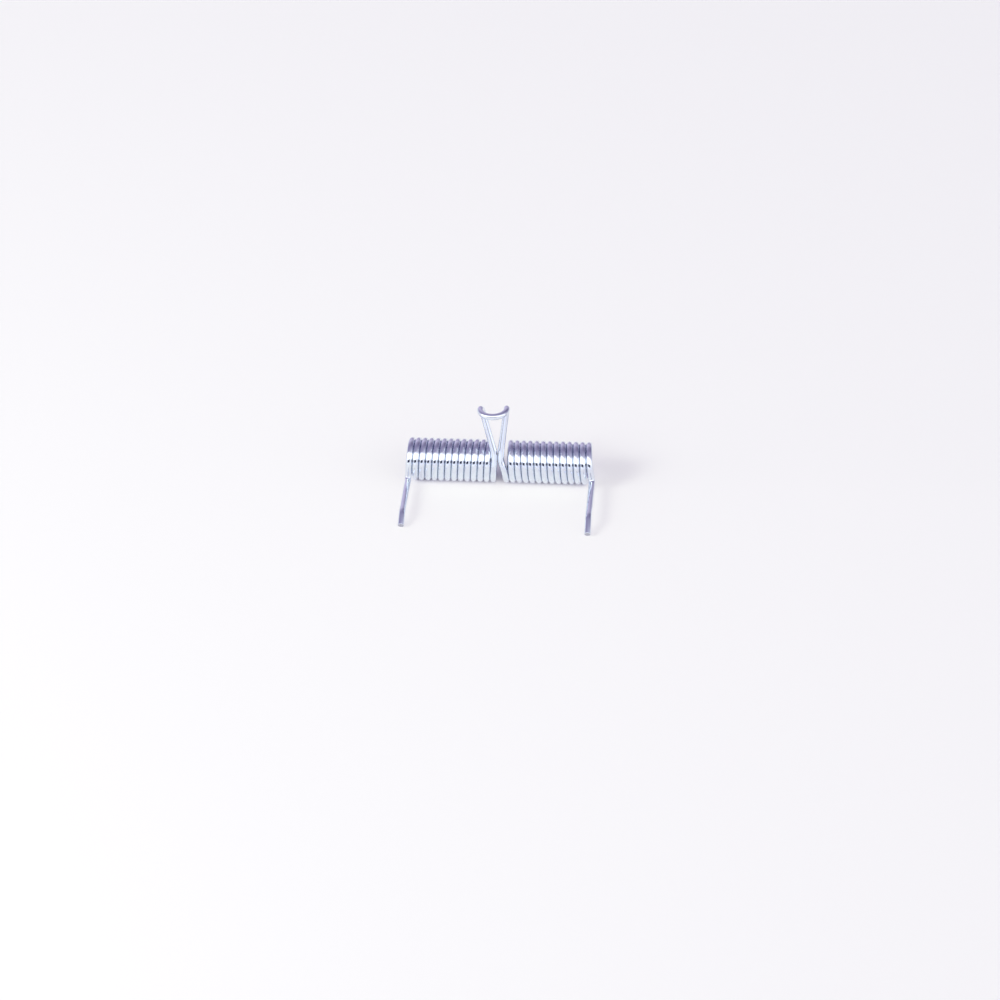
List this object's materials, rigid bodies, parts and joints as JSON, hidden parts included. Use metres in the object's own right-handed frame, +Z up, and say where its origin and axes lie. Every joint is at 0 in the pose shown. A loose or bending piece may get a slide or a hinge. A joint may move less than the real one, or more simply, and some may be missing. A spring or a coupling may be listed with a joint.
{
  "type": "double torsion spring",
  "caption": "Double torsion spring of bright plated round wire: opposite close-wound coils joined by a hooked centre loop, with a bent leg at each end.",
  "frame": {"origin": "middle of the coil axis, halfway between the two wires of the centre loop's neck", "axes": "+X along the coil axis to the right coil, -Y the side the legs point to, +Z up as the spring rests on its coils and leg tips"},
  "size_m": [0.089, 0.0563, 0.041],
  "materials": {
    "zinc_plated_spring_steel": "bright zinc plating on drawn spring steel wire"
  },
  "bodies": {
    "root": {"spring_wire": "zinc_plated_spring_steel"}
  },
  "joints": []
}
